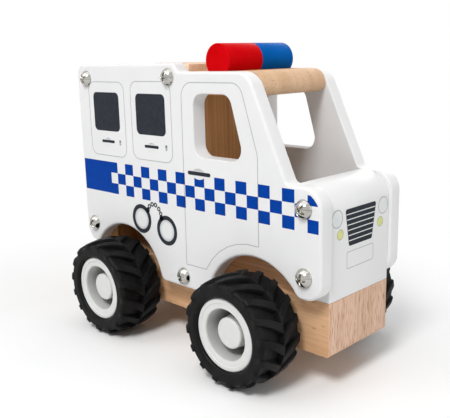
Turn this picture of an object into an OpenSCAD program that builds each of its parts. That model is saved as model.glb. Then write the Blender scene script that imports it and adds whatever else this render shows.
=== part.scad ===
// Wooden toy police van: two shaped side panels screwed to cross boards on a beech base block,
// with two steel axles that turn in the base and carry plastic rims with lugged rubber tyres.
// Millimetres. +X is the front, +Y the left side, +Z up. The origin is on the ground under the middle.

/* [Side panels] */
// Length of the side panels, front edge to rear edge
body_len = 175; // [172:0.5:190]
// Thickness of a side panel
panel_t = 8; // [6:0.5:10]
// Height of the rear section's top edge above the ground
rear_top_z = 147.2; // [146:0.2:156]
// Height of the cab roof above the ground
cab_top_z = 143.1; // [140:0.1:144]
// Height of the bonnet's top edge above the ground
hood_z = 96.2; // [92:0.1:99]
// Height of the panel's lower edge ahead of and behind the wheels
skirt_z = 44.7; // [43:0.1:47]
// Height of the panel's lower edge between the wheels
sill_z = 32.9; // [30:0.1:36]
// Lean of the windscreen pillar from upright, in degrees
pillar_lean = 24.7; // [20:0.5:28]
// Place along X where the pillar's line meets the bonnet's line
pillar_foot_x = 67.2; // [64:0.2:69]
// Place along X of the small step in the roof line
roof_step_x = 0.5; // [-2:0.5:4]
// Radius of the wheel arches
arch_r = 31; // [29:0.5:32]
// Height of the arches' centres above the axles
arch_rise = 1.2; // [0:0.1:2]
// Rounding of the panel's edges on the outer face
outer_round = 2.4; // [1:0.1:2.6]
// Rounding of the panel's edges on the inner face
inner_round = 1.6; // [0.8:0.1:2]

/* [Cab window] */
// Rear edge of the window along X
window_rear_x = 10.6; // [7:0.2:12]
// Front edge of the window along X, at its sill
window_front_x = 42.3; // [38:0.1:44]
// Height of the window's sill
window_sill_z = 102.8; // [100:0.2:106]
// Height of the window's head
window_head_z = 132.5; // [128:0.1:134]
// Radius of the window's corners
window_corner_r = 6; // [4:0.5:7]
// Rounding of the window's edges on both faces
window_round = 1.6; // [0.8:0.1:2]

/* [Boards] */
// Width between the side panels
inner_w = 46.6; // [40:0.2:60]
// Thickness of the base block
base_t = 26; // [22:0.5:28]
// Height of the base block's underside above the ground
base_z = 16.7; // [14:0.1:17]
// Thickness of the front board, the partition and the rear wall
wall_t = 16; // [12:0.5:18]
// Thickness of the two roof boards
roof_t = 11.3; // [9:0.1:14]
// How far the boards stand back from the panels' front and rear edges
board_setback = 2.75; // [1:0.25:4]
// Rounding of the front board's top edge, the bonnet
bonnet_r = 13; // [8:0.5:15]
// Rounding of the cab roof's nose
nose_r = 8; // [5:0.5:9]
// Front face of the partition along X
partition_x = -1.25; // [-3:0.25:0]

/* [Light bar] */
// Diameter of the light bar
light_d = 16; // [12:0.5:18]
// Place of the light bar along X
light_x = 19; // [16:0.5:24]
// Height of the light bar's axis above the cab roof
light_rise = 4.9; // [4:0.1:5.5]

/* [Screws] */
// Diameter of the domed screw heads
head_d = 9; // [7:0.5:10]
// Height of the domed screw heads
head_h = 3.3; // [2.5:0.1:4]
// Diameter of the screws' shanks
shank_d = 4; // [3:0.5:5]
// Length of the screws under the head
shank_len = 24; // [18:1:28]

/* [Wheels] */
// Diameter of the tyres over the lugs
tyre_d = 53; // [51:0.5:54]
// Width of the tyres at the sidewalls
tyre_w = 26; // [24:0.5:27]
// Depth of the tread between the lugs, at its middle
lug_depth = 2.2; // [1.5:0.1:2.6]
// Drop of the lugs from the middle of the tread to its edges
tread_crown = 1.6; // [0:0.1:1.8]
// Number of lugs on each half of the tread
lug_count = 16; // [12:2:18]
// Thickness of a lug around the tyre
lug_w = 5.2; // [3.5:0.1:5.6]
// Lean of a lug near the middle of the tread, around the tyre for each millimetre across it
lug_lean = 0.8; // [0.4:0.05:1]
// Lean of a lug near the shoulder
shoulder_lean = 0.25; // [0:0.05:0.6]
// Turn of the front tyres at rest
front_turn = 11.25; // [0:0.25:22.5]
// Turn of the rear tyres at rest
rear_turn = 20.5; // [0:0.25:22.5]
// Front axle along X
front_axle_x = 47; // [45:0.25:47.5]
// Rear axle along X
rear_axle_x = -50.75; // [-51:0.25:-48]
// Distance from the van's middle to the tyre's middle
track_half = 40; // [39.6:0.2:43]
// Diameter of the axles
axle_d = 5; // [4:0.5:6]

/* [Hidden] */
$fn = 64;

paint_white = [0.93, 0.93, 0.92];
beech = [0.84, 0.67, 0.49];
lamp_red = [0.86, 0.02, 0.06];
lamp_blue = [0.0, 0.28, 0.7];
nickel = [0.78, 0.76, 0.72];
steel = [0.66, 0.67, 0.69];
rim_white = [0.88, 0.88, 0.86];
tyre_black = [0.14, 0.14, 0.15];

half_in = inner_w / 2;
half_out = half_in + panel_t;
end_x = body_len / 2;
board_x = end_x - board_setback;
tyre_r = tyre_d / 2;
axle_z = tyre_r;
arch_z = axle_z + arch_rise;
axle_r = axle_d / 2;
base_top = base_z + base_t;
roof_drop = 0.5;
roof_top = rear_top_z - roof_drop;
running = 0.05;
through = 1;

// The panel's outline is a chain of tangent arcs [x, z, radius, from, to], taken anticlockwise.
// A rising angle is an outer corner and a falling angle an inner one, so an inset changes only radii.
arc_step = 12;
corner_r = 8.5;
arch_lip_r = 4;
nose_corner_r = 13.5;
pillar_foot_r = 8;
pillar_head_r = 11;
step_r = 3;
step_lean = 50;
rear_corner_r = 5;

// Place along X of a lip's centre, for a lip that touches the line z and the arch at ax
function lip_dx(z) = sqrt(pow(arch_r + arch_lip_r, 2) - pow(z + arch_lip_r - arch_z, 2));
// Angle from the arch's centre up to that lip's centre
function lip_angle(z) = asin((z + arch_lip_r - arch_z) / (arch_r + arch_lip_r));
// The lip before an arch, the arch, and the lip after it, between the edges at z0 and z1
function arch(ax, z0, z1) = [
    [ax - lip_dx(z0), z0 + arch_lip_r, arch_lip_r, 270, 360 - lip_angle(z0)],
    [ax, arch_z, arch_r, 180 - lip_angle(z0), lip_angle(z1)],
    [ax + lip_dx(z1), z1 + arch_lip_r, arch_lip_r, 180 + lip_angle(z1), 270]
];
// Place along X of a circle's centre at height z, a distance off ahead of the pillar's line
function off_pillar(z, off) = pillar_foot_x + off / cos(pillar_lean) - (z - hood_z) * tan(pillar_lean);

step_rise = rear_top_z - cab_top_z;
step_run = (step_rise - 2 * step_r * (1 - cos(step_lean))) / tan(step_lean) + 2 * step_r * sin(step_lean);
panel_arcs = concat(
    [[-end_x + corner_r, skirt_z + corner_r, corner_r, 180, 270]],
    arch(rear_axle_x, skirt_z, sill_z),
    arch(front_axle_x, sill_z, skirt_z),
    [
        [end_x - corner_r, skirt_z + corner_r, corner_r, -90, 0],
        [end_x - nose_corner_r, hood_z - nose_corner_r, nose_corner_r, 0, 90],
        [off_pillar(hood_z + pillar_foot_r, pillar_foot_r), hood_z + pillar_foot_r,
            pillar_foot_r, 270, 180 + pillar_lean],
        [off_pillar(cab_top_z - pillar_head_r, -pillar_head_r), cab_top_z - pillar_head_r,
            pillar_head_r, pillar_lean, 90],
        [roof_step_x, cab_top_z + step_r, step_r, 270, 270 - step_lean],
        [roof_step_x - step_run, rear_top_z - step_r, step_r, 90 - step_lean, 90],
        [-end_x + rear_corner_r, rear_top_z - rear_corner_r, rear_corner_r, 90, 180]
    ]
);

// The window's front edge leans as the pillar does
function window_front(z, off) =
    window_front_x - (z - window_sill_z) * tan(pillar_lean) * window_lean - off * window_front_sec;
window_lean = 0.63;
window_front_angle = atan(tan(pillar_lean) * window_lean);
window_front_sec = 1 / cos(window_front_angle);
window_arcs = [
    [window_rear_x + window_corner_r, window_sill_z + window_corner_r, window_corner_r, 180, 270],
    [window_front(window_sill_z + window_corner_r, window_corner_r), window_sill_z + window_corner_r,
        window_corner_r, 270, 360 + window_front_angle],
    [window_front(window_head_z - window_corner_r, window_corner_r), window_head_z - window_corner_r,
        window_corner_r, window_front_angle, 90],
    [window_rear_x + window_corner_r, window_head_z - window_corner_r, window_corner_r, 90, 180]
];

// Points of one arc, moved inwards by d
function arc_points(a, d) =
    let (
        turn = a[4] - a[3],
        r = turn > 0 ? a[2] - d : a[2] + d,
        steps = max(2, ceil(abs(turn) / arc_step))
    )
    [for (i = [0:steps]) let (at = a[3] + turn * i / steps) [a[0] + r * cos(at), a[1] + r * sin(at)]];
// A closed ring without the doubled points where two arcs meet directly
same_point = 0.001;
function distinct(ring) =
    [for (i = [0:len(ring) - 1])
        if (norm(ring[i] - ring[(i + len(ring) - 1) % len(ring)]) > same_point) ring[i]];
function outline(arcs, d) = distinct([for (a = arcs) each arc_points(a, d)]);

// The core starts a little past the roundings, so a narrow flat rim lies between them
rim_w = 0.2;
panel_core = max(outer_round, inner_round) + rim_w;
window_core = window_round + rim_w;
// Levels [depth, inset] of a rounded edge: from the core's face round the two quarter-rounds to its back
round_steps = 4;
function edge_levels(outer, inner, core) = concat(
    [[0, core]],
    [for (i = [0:round_steps]) let (a = 90 * i / round_steps)
        [outer * (1 - cos(a)), outer * (1 - sin(a))]],
    [for (i = [round_steps:-1:0]) let (a = 90 * i / round_steps)
        [panel_t - inner * (1 - cos(a)), inner * (1 - sin(a))]],
    [[panel_t, core]]
);
panel_levels = edge_levels(outer_round, inner_round, panel_core);
// An opening is rounded the other way, so its levels run backwards and grow the outline
window_levels =
    let (levels = edge_levels(window_round, window_round, window_core))
    [for (i = [len(levels) - 1:-1:0]) [levels[i][0], -levels[i][1]]];

// A closed band around an outline, through the rings that the outline makes at each level
module edge_band(arcs, levels) {
    rings = [for (l = levels) [for (p = outline(arcs, l[1])) [p[0], l[0], p[1]]]];
    n = len(rings[0]);
    count = len(levels);
    polyhedron(
        points = [for (ring = rings) each ring],
        faces = [for (k = [0:count - 1], i = [0:n - 1])
            let (j = (i + 1) % n, here = k * n, next = (k + 1) % count * n)
                each [
                    [here + i, here + j, next + j],
                    [here + i, next + j, next + i]
                ]]
    );
}

// Screw places [x, z] on a side panel: two in each upright board, one in the base
screw_places = [
    [-78.5, 139.4], [-79.5, 55.7], [-8.2, 140.5], [-1.7, 39.1], [77.3, 86.1], [77.2, 55.1]
];

// A cylinder along Y from y0 to y1
module rod_y(r, y0, y1) {
    translate([0, y0, 0])
        rotate([-90, 0, 0])
            cylinder(r = r, h = y1 - y0);
}

// The screws' holes: clear through the panels and down into the boards
module screw_holes() {
    tip_play = 0.5;
    hole_end = half_out - shank_len - tip_play;
    for (side = [-1, 1], p = screw_places)
        translate([p[0], 0, p[1]])
            rod_y(
                shank_d / 2 + running,
                side < 0 ? -half_out - through : hole_end,
                side < 0 ? -hole_end : half_out + through
            );
}

// A profile drawn in X and Z, carried across the width between the panels
module across() {
    translate([0, half_in, 0])
        rotate([90, 0, 0])
            linear_extrude(height = inner_w)
                children();
}

// A rectangle with one rounded corner at its upper right
module round_shoulder(x0, z0, x1, z1, r) {
    difference() {
        translate([x0, z0]) square([x1 - x0, z1 - z0]);
        difference() {
            translate([x1 - r, z1 - r]) square(r + through);
            translate([x1 - r, z1 - r]) circle(r = r);
        }
    }
}

// A flat core with the window's hole, and a rounded band round its edge and round the window
module side_panel() {
    difference() {
        union() {
            translate([0, -half_in, 0])
                rotate([90, 0, 0])
                    linear_extrude(height = panel_t)
                        difference() {
                            polygon(outline(panel_arcs, panel_core));
                            polygon(outline(window_arcs, -window_core));
                        }
            translate([0, -half_out, 0]) {
                edge_band(panel_arcs, panel_levels);
                edge_band(window_arcs, window_levels);
            }
        }
        screw_holes();
    }
}

module side_panel_right() {
    color(paint_white) side_panel();
}

module side_panel_left() {
    color(paint_white) mirror([0, 1, 0]) side_panel();
}

module base_block() {
    edge_r = 2;
    color(beech)
        difference() {
            across()
                difference() {
                    translate([-board_x, base_z]) square([2 * board_x, base_t]);
                    for (side = [-1, 1])
                        translate([side * (board_x - edge_r), base_z + edge_r])
                            difference() {
                                translate([side < 0 ? -edge_r - through : 0, -edge_r - through])
                                    square(edge_r + through);
                                circle(r = edge_r);
                            }
                }
            for (x = [front_axle_x, rear_axle_x])
                translate([x, 0, axle_z])
                    rod_y(axle_r + running, -half_in - through, half_in + through);
            screw_holes();
        }
}

module front_board() {
    color(paint_white)
        difference() {
            across() round_shoulder(board_x - wall_t, base_top, board_x, hood_z, bonnet_r);
            screw_holes();
        }
}

module partition_board() {
    color(beech)
        difference() {
            across() translate([partition_x - wall_t, base_top]) square([wall_t, roof_top - base_top]);
            screw_holes();
        }
}

module rear_wall() {
    color(beech)
        difference() {
            across()
                mirror([1, 0])
                    round_shoulder(board_x - wall_t, base_top, board_x, roof_top, rear_corner_r);
            screw_holes();
        }
}

module rear_roof_board() {
    color(beech)
        across()
            translate([-board_x + wall_t, roof_top - roof_t])
                square([board_x - wall_t + partition_x - wall_t, roof_t]);
}

// The roof's nose ends just behind the pillar's line
nose_back = 1.8;
nose_x = off_pillar(cab_top_z - nose_r, 0) - nose_back;
peg_d = 6;
peg_len = 12;
peg_y = half_in / 2;
peg_drop = 1;
peg_mid_z = cab_top_z - peg_drop;
peg_play = 0.3;

module cab_roof_board() {
    under_r = 3;
    color(beech)
        difference() {
            across()
                difference() {
                    round_shoulder(partition_x, cab_top_z - roof_t, nose_x, cab_top_z, nose_r);
                    translate([nose_x - under_r, cab_top_z - roof_t + under_r])
                        difference() {
                            translate([0, -under_r - through]) square(under_r + through);
                            circle(r = under_r);
                        }
                }
            peg_holes();
        }
}

module pegs(r, extra) {
    for (side = [-1, 1])
        translate([light_x, side * peg_y, peg_mid_z - peg_len / 2 - extra])
            cylinder(r = r, h = peg_len + 2 * extra);
}

module peg_holes() {
    pegs(peg_d / 2 + running, peg_play);
}

// Half of the light bar: a dowel with a flat that sits on the cab roof
module light_half(y0, y1) {
    light_r = light_d / 2;
    difference() {
        translate([light_x, 0, cab_top_z + light_rise]) rod_y(light_r, y0, y1);
        translate([light_x - light_r - through, y0 - through, cab_top_z - light_d])
            cube([light_d + 2 * through, y1 - y0 + 2 * through, light_d]);
        peg_holes();
    }
}

module light_bar_red() {
    color(lamp_red) light_half(-half_in, 0);
}

module light_bar_blue() {
    color(lamp_blue) light_half(0, half_in);
}

module light_bar_pegs() {
    color(beech) pegs(peg_d / 2, 0);
}

// A domed screw along Y with its head's flat side at y = 0 and its shank towards +Y
module screw() {
    dome_r = (pow(head_d / 2, 2) + pow(head_h, 2)) / (2 * head_h);
    slot_w = 1;
    slot_len = 4.4;
    slot_depth = 1.3;
    difference() {
        union() {
            intersection() {
                translate([0, dome_r - head_h, 0]) sphere(r = dome_r);
                rod_y(head_d, -head_h - through, 0);
            }
            rod_y(shank_d / 2, -running, shank_len);
        }
        for (turn = [20, 110])
            rotate([0, turn, 0])
                translate([-slot_len / 2, -head_h - through, -slot_w / 2])
                    cube([slot_len, slot_depth + through, slot_w]);
    }
}

module panel_screws() {
    for (p = screw_places)
        translate([p[0], -half_out, p[1]]) screw();
}

module panel_screws_right() {
    color(nickel) panel_screws();
}

module panel_screws_left() {
    color(nickel) mirror([0, 1, 0]) panel_screws();
}

// Wheel parts are drawn about their own axle, with the wheel's outer side towards -Y.
// Distances are from the tyre's middle: the rim's lip lies a little inside the tyre's sidewall.
lip_inset = 1.5;
lip_y = tyre_w / 2 - lip_inset;
lip_r = 17.4;
lip_t = 2.2;
lip_step = 0.3;
lip_step_r = 15;
seat_r = 15.5;
hub_r = 6.5;
hub_back_y = 14.5;
dish_mouth_r = 12.5;
dish_floor_r = 10.4;
dish_depth = 9;
cap_r = 7.4;
cap_inset = 3;
cap_face_y = lip_y - cap_inset;
cap_len = 4.5;
cap_wall = 1.5;
hub_face_y = cap_face_y - cap_len;
axle_half = track_half + cap_face_y - cap_wall;
washer_gap = 0.4;

module axle() {
    rod_y(axle_r, -axle_half, axle_half);
}

// A washer beside the base at each end of the axle's bore
module washers() {
    hub_back = track_half - hub_back_y;
    for (side = [-1, 1])
        mirror([0, side < 0 ? 0 : 1, 0])
            difference() {
                rod_y(hub_r, -hub_back, -half_in - washer_gap);
                rod_y(axle_r + running, -track_half, 0);
            }
}

// The rim: a barrel with a flange at each edge of the tyre, a rolled lip, a deep dish and a hub
module rim() {
    roll = 1.1;
    chamfer = 1.6;
    groove = 0.4;
    hub_wall = 2;
    barrel_wall = 2;
    web = 2;
    rotate([90, 0, 0])
        rotate_extrude()
            difference() {
                union() {
                    translate([0, -lip_y]) square([seat_r, 2 * lip_y]);
                    translate([0, -lip_y]) square([lip_r, lip_t]);
                    translate([0, lip_y - lip_t]) square([lip_r, lip_t - roll]);
                    translate([0, lip_y - lip_t]) square([lip_r - roll, lip_t]);
                    translate([lip_r - roll, lip_y - roll]) circle(r = roll);
                    translate([0, -hub_back_y]) square([hub_r, hub_back_y]);
                }
                polygon([
                    [cap_r + groove, lip_y - dish_depth],
                    [dish_floor_r, lip_y - dish_depth],
                    [dish_mouth_r, lip_y - chamfer],
                    [dish_mouth_r + chamfer, lip_y],
                    [dish_mouth_r + chamfer, lip_y + through],
                    [0, lip_y + through],
                    [0, hub_face_y],
                    [cap_r + groove, hub_face_y]
                ]);
                translate([0, lip_y - lip_step]) square([lip_step_r, lip_step + through]);
                translate([hub_r + hub_wall, -lip_y - through])
                    square([
                        seat_r - barrel_wall - hub_r - hub_wall,
                        2 * lip_y - dish_depth - web + through
                    ]);
                translate([0, -hub_back_y - through])
                    square([axle_r + running, hub_back_y + lip_y + 2 * through]);
            }
}

module hub_cap() {
    edge = 0.8;
    play = 0.2;
    socket_end = axle_half - track_half + play;
    rotate([90, 0, 0])
        rotate_extrude()
            difference() {
                union() {
                    translate([0, hub_face_y]) square([cap_r, cap_len - edge]);
                    translate([0, hub_face_y]) square([cap_r - edge, cap_len]);
                    translate([cap_r - edge, cap_face_y - edge]) circle(r = edge);
                }
                translate([0, hub_face_y - through])
                    square([axle_r + running, socket_end - hub_face_y + through]);
            }
}

// A rubber section: r_out over the middle of the tread, which falls by crown towards both edges,
// and half_w to the sidewalls, which close in on the rim's lips
module tyre_section(r_out, half_w, shoulder, crown) {
    bead = 2;
    bead_r = lip_r + running + bead;
    level = 3;
    difference() {
        intersection() {
            union() {
                square([2 * r_out, 2 * (half_w - shoulder)], center = true);
                square([2 * (r_out - shoulder), 2 * half_w], center = true);
                for (side = [-1, 1])
                    translate([r_out - shoulder, side * (half_w - shoulder)]) circle(r = shoulder);
            }
            polygon([
                [0, -half_w - through],
                [r_out - crown, -half_w],
                [r_out, -level],
                [r_out, level],
                [r_out - crown, half_w],
                [0, half_w + through]
            ]);
        }
        translate([-r_out, -half_w]) square([r_out + seat_r + running, 2 * half_w]);
        for (side = [-1, 1])
            translate([0, side * (half_w + lip_y - lip_t) / 2])
                square([2 * (bead_r - bead), half_w - lip_y + lip_t], center = true);
        for (side = [-1, 1])
            translate([0, side * half_w])
                difference() {
                    square([2 * bead_r, 2 * bead], center = true);
                    translate([bead_r, -side * bead]) circle(r = bead);
                }
    }
}

// Chevron lugs: a bent bar repeated around each half of the tread, the rows half a pitch apart
module lugs() {
    pitch = 360 / lug_count;
    overlap = 0.4;
    bend = 6.5;
    beyond = 2;
    root_depth = 3;
    reach = tyre_w / 2 + beyond;
    lug_root = tyre_r - lug_depth - root_depth;
    bend_x = -lug_lean * bend;
    end_x = bend_x - shoulder_lean * (reach - bend);
    for (side = [-1, 1], i = [0:lug_count - 1])
        rotate([0, i * pitch + (side < 0 ? 0 : pitch / 2), 0])
            translate([0, 0, lug_root])
                linear_extrude(height = tyre_r + through - lug_root)
                    polygon([
                        [lug_lean * overlap - lug_w / 2, -side * overlap],
                        [lug_lean * overlap + lug_w / 2, -side * overlap],
                        [bend_x + lug_w / 2, side * bend],
                        [end_x + lug_w / 2, side * reach],
                        [end_x - lug_w / 2, side * reach],
                        [bend_x - lug_w / 2, side * bend]
                    ]);
}

module tyre(turn) {
    shoulder = 2.6;
    lug_proud = 0.15;
    floor_crown = 0.2;
    rotate([0, turn, 0])
        union() {
            rotate([90, 0, 0])
                rotate_extrude() tyre_section(tyre_r - lug_depth, tyre_w / 2, shoulder, floor_crown);
            intersection() {
                lugs();
                rotate([90, 0, 0])
                    rotate_extrude() tyre_section(tyre_r, tyre_w / 2 + lug_proud, shoulder, tread_crown);
            }
        }
}

// A part of a right-hand wheel, placed on the axle at x
module on_right(x) {
    translate([x, -track_half, axle_z]) children();
}

module on_left(x) {
    mirror([0, 1, 0]) on_right(x) children();
}

module on_axle(x) {
    translate([x, 0, axle_z]) children();
}

module front_axle() {
    color(steel) on_axle(front_axle_x) axle();
}

module rear_axle() {
    color(steel) on_axle(rear_axle_x) axle();
}

module front_washers() {
    color(steel) on_axle(front_axle_x) washers();
}

module rear_washers() {
    color(steel) on_axle(rear_axle_x) washers();
}

module front_rim_right() {
    color(rim_white) on_right(front_axle_x) rim();
}

module front_rim_left() {
    color(rim_white) on_left(front_axle_x) rim();
}

module rear_rim_right() {
    color(rim_white) on_right(rear_axle_x) rim();
}

module rear_rim_left() {
    color(rim_white) on_left(rear_axle_x) rim();
}

module front_tyre_right() {
    color(tyre_black) on_right(front_axle_x) tyre(front_turn);
}

module front_tyre_left() {
    color(tyre_black) on_left(front_axle_x) tyre(front_turn);
}

module rear_tyre_right() {
    color(tyre_black) on_right(rear_axle_x) tyre(rear_turn);
}

module rear_tyre_left() {
    color(tyre_black) on_left(rear_axle_x) tyre(rear_turn);
}

module front_hub_cap_right() {
    color(rim_white) on_right(front_axle_x) hub_cap();
}

module front_hub_cap_left() {
    color(rim_white) on_left(front_axle_x) hub_cap();
}

module rear_hub_cap_right() {
    color(rim_white) on_right(rear_axle_x) hub_cap();
}

module rear_hub_cap_left() {
    color(rim_white) on_left(rear_axle_x) hub_cap();
}

side_panel_right();
side_panel_left();
base_block();
front_board();
partition_board();
rear_wall();
rear_roof_board();
cab_roof_board();
light_bar_red();
light_bar_blue();
light_bar_pegs();
panel_screws_right();
panel_screws_left();
front_axle();
front_washers();
front_rim_right();
front_rim_left();
front_tyre_right();
front_tyre_left();
front_hub_cap_right();
front_hub_cap_left();
rear_axle();
rear_washers();
rear_rim_right();
rear_rim_left();
rear_tyre_right();
rear_tyre_left();
rear_hub_cap_right();
rear_hub_cap_left();
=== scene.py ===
import math

import bmesh
import bpy
import numpy as np
from mathutils import Matrix, Vector
from mathutils.geometry import tessellate_polygon


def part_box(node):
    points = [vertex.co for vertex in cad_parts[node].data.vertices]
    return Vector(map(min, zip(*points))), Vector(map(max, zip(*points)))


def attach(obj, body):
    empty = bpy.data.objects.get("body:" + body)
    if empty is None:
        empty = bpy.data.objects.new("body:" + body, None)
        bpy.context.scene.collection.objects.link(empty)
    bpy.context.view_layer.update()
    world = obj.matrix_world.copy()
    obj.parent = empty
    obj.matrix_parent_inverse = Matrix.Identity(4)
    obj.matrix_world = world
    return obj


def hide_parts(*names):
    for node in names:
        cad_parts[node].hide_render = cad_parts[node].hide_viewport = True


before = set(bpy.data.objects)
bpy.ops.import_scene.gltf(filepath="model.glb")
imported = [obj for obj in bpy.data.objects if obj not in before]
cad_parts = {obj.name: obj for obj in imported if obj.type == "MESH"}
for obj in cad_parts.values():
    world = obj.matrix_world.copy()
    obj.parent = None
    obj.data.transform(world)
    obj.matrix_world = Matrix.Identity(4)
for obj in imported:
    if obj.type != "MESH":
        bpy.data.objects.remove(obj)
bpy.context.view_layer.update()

scene = bpy.context.scene
mm = 0.001  # the settings below are in millimetres
sameSpot = 1e-4  # points closer than this are one
arcPoints = 9  # points on a small rounding


# Lowest and highest corner of a frame node, in millimetres
def nodeBox(name):
    low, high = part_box(name)
    return np.array(low) / mm, np.array(high) / mm


boardHigh = nodeBox("front_board")[1]
frontX = boardHigh[0]  # face of the front board
innerY = boardHigh[1]  # inner face of the side panels
faceY = -nodeBox("side_panel_right")[0][1]  # outer face of the side panels, from the middle


# Corner arcs of a polygon: each corner (a, b, radius) becomes an arc that touches the corner's two sides,
# as [centre a, centre b, radius, from, to]; a rising angle is an outer corner and a falling one an inner one
def cornerArcs(corners):
    p = np.array(corners, float)
    radius = p[:, 2]
    way = p[:, :2] - np.roll(p[:, :2], 1, axis=0)
    way /= np.linalg.norm(way, axis=1)[:, None]
    after = np.roll(way, -1, axis=0)
    turn = np.arctan2(way[:, 0] * after[:, 1] - way[:, 1] * after[:, 0], (way * after).sum(axis=1))
    left = np.stack([-way[:, 1], way[:, 0]], axis=1) * np.sign(turn)[:, None]
    begin = p[:, :2] - way * (radius * np.tan(abs(turn) / 2))[:, None]
    start = np.degrees(np.arctan2(-left[:, 1], -left[:, 0]))
    return np.column_stack([begin + left * radius[:, None], radius, start, start + np.degrees(turn)])


# Polygon with the same rounding at every corner, as arcs
def evenCorners(points, radius):
    return cornerArcs([(*point, radius) for point in points])


# Points of an arc chain: centre + r (cos t, sin t), where an inset makes r smaller on outer arcs
# and larger on inner ones; step is the largest angle between points
def outline(arcs, inset=0.0, step=4.0):
    arcs = np.array(arcs, float)
    counts = [max(2, math.ceil(abs(a[4] - a[3]) / step)) + 1 for a in arcs]
    a, b, radius, start, stop = np.repeat(arcs, counts, axis=0).T
    angle = np.radians(np.concatenate([np.linspace(a[3], a[4], n) for a, n in zip(arcs, counts)]))
    ray = np.stack([np.cos(angle), np.sin(angle)], axis=1)
    centre = np.stack([a, b], axis=1)
    plain = centre + radius[:, None] * ray
    keep = np.linalg.norm(plain - np.roll(plain, 1, axis=0), axis=1) > sameSpot
    return (centre + (radius - np.sign(stop - start) * inset)[:, None] * ray)[keep]


# Quads between neighbouring rings of n points, each ring closed on itself
def ringQuads(count, n, closed=False):
    k = np.arange(count if closed else count - 1)[:, None]
    i = np.arange(n)[None, :]
    j, m = (i + 1) % n, (k + 1) % count
    return np.stack([k * n + i, k * n + j, m * n + j, m * n + i], axis=-1).reshape(-1, 4)


# A shell is its points, its quads and its triangles; the triangles are flat ends
# Shell over a grid of points, ring by ring, without ends
def gridShell(points, closed=False):
    return points.reshape(-1, 3), ringQuads(*points.shape[:2], closed), np.zeros((0, 3), int)


# Angles of one full turn, as a row
def fullTurn(segments):
    return np.linspace(0, 2 * np.pi, segments, endpoint=False)[None, :]


# Solid through the rings of an outline at each level (depth, inset), with flat ends; a hole has levels of
# its own and takes the inset outwards
def loft(arcs, levels, place, holes=(), step=4.0):
    points, quads, first, last, base = [], [], [], [], 0
    for chain, steps, sign in [(arcs, levels, 1.0)] + [(*hole, -1.0) for hole in holes]:
        rings = np.stack([place(outline(chain, sign * inset, step), depth) for depth, inset in steps])
        count, n = rings.shape[:2]
        points.append(rings.reshape(-1, 3))
        quads.append(ringQuads(count, n) + base)
        first.append(np.arange(n) + base)
        last.append(np.arange(n) + base + (count - 1) * n)
        base += count * n
    points = np.concatenate(points)
    ends = []
    for loops in (first, last):
        cut = np.array(tessellate_polygon([points[loop].tolist() for loop in loops]))
        ends.append(np.concatenate(loops)[cut])
    return points, np.concatenate(quads), np.concatenate(ends)


inkLayer = dict(sink=0.03, proud=0.03)  # how far a print goes into the paint, and out of it for each layer


# Closed band along an outline: four rings, half the width inside and outside it, at two depths
def ribbon(arcs, width, place, layer=1, step=12.0):
    sink, proud, half = inkLayer["sink"], -inkLayer["proud"] * layer, width / 2
    corners = [(sink, half), (proud, half), (proud, -half), (sink, -half)]
    rings = np.stack([place(outline(arcs, inset, step), depth) for depth, inset in corners])
    return gridShell(rings, closed=True)


# Thin slab of ink that fills an outline, between two depths
def inkSlab(arcs, place, layer=1, step=12.0):
    return loft(arcs, [(inkLayer["sink"], 0.0), (-inkLayer["proud"] * layer, 0.0)], place, step=step)


# Surface of revolution about an axle: (r, w) goes to (x + r sin t, side (track + w), z + r cos t)
def revolve(profile, hub, side, segments, closed=True):
    t = fullTurn(segments)
    r, w = profile[:, :1], profile[:, 1:]
    x = hub[0] + r * np.sin(t)
    z = hub[1] + r * np.cos(t)
    y = np.broadcast_to(side * (wheelTrack + w), x.shape)
    return gridShell(np.stack([x, y, z], axis=-1), closed)


# One mesh object from shells: its ends are shaded flat, everything else smooth up to the sharp angle
def makePiece(name, shells, material, body, slot=None, instead=(), sharp=None, weld=False, smooth=True):
    points, quads, ends, base = [], [], [], 0
    for shell in shells:
        points.append(shell[0])
        quads.append(shell[1] + base)
        ends.append(shell[2] + base)
        base += len(shell[0])
    quads, ends = np.concatenate(quads), np.concatenate(ends)
    smoothFaces = len(quads) if smooth else 0
    mesh = bpy.data.meshes.new(name)
    mesh.from_pydata((np.concatenate(points) * mm).tolist(), [], quads.tolist() + ends.tolist())
    mesh.polygons.foreach_set("use_smooth", np.arange(len(mesh.polygons)) < smoothFaces)
    solid = bmesh.new()
    solid.from_mesh(mesh)
    if weld:
        bmesh.ops.remove_doubles(solid, verts=solid.verts, dist=sameSpot * mm)
    bmesh.ops.recalc_face_normals(solid, faces=solid.faces)
    solid.to_mesh(mesh)
    solid.free()
    if sharp:
        mesh.set_sharp_from_angle(angle=math.radians(sharp))
    mesh.materials.append(material)
    piece = bpy.data.objects.new(name, mesh)
    scene.collection.objects.link(piece)
    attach(piece, body)
    if instead:
        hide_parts(*instead)
    return piece


# Writes a piece's own tone attribute, one value per point
def setTone(piece, tones):
    piece.data.attributes.new("tone", "FLOAT", "POINT").data.foreach_set("value", tones.astype(np.float32))


# Places an outline drawn in x and z on a side panel's face, -1 for the right-hand side and 1 for the left
def onSide(side):
    def place(ring, depth):
        return np.stack([ring[:, 0], np.full(len(ring), side * (faceY - depth)), ring[:, 1]], axis=1)
    return place


# Places an outline drawn in y and z on the front board's face
def onFront(ring, depth):
    return np.stack([np.full(len(ring), frontX - depth), ring[:, 0], ring[:, 1]], axis=1)


# Places a profile drawn in x and z at a distance across the body
def acrossBody(ring, y):
    return np.stack([ring[:, 0], np.full(len(ring), y), ring[:, 1]], axis=1)


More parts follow.
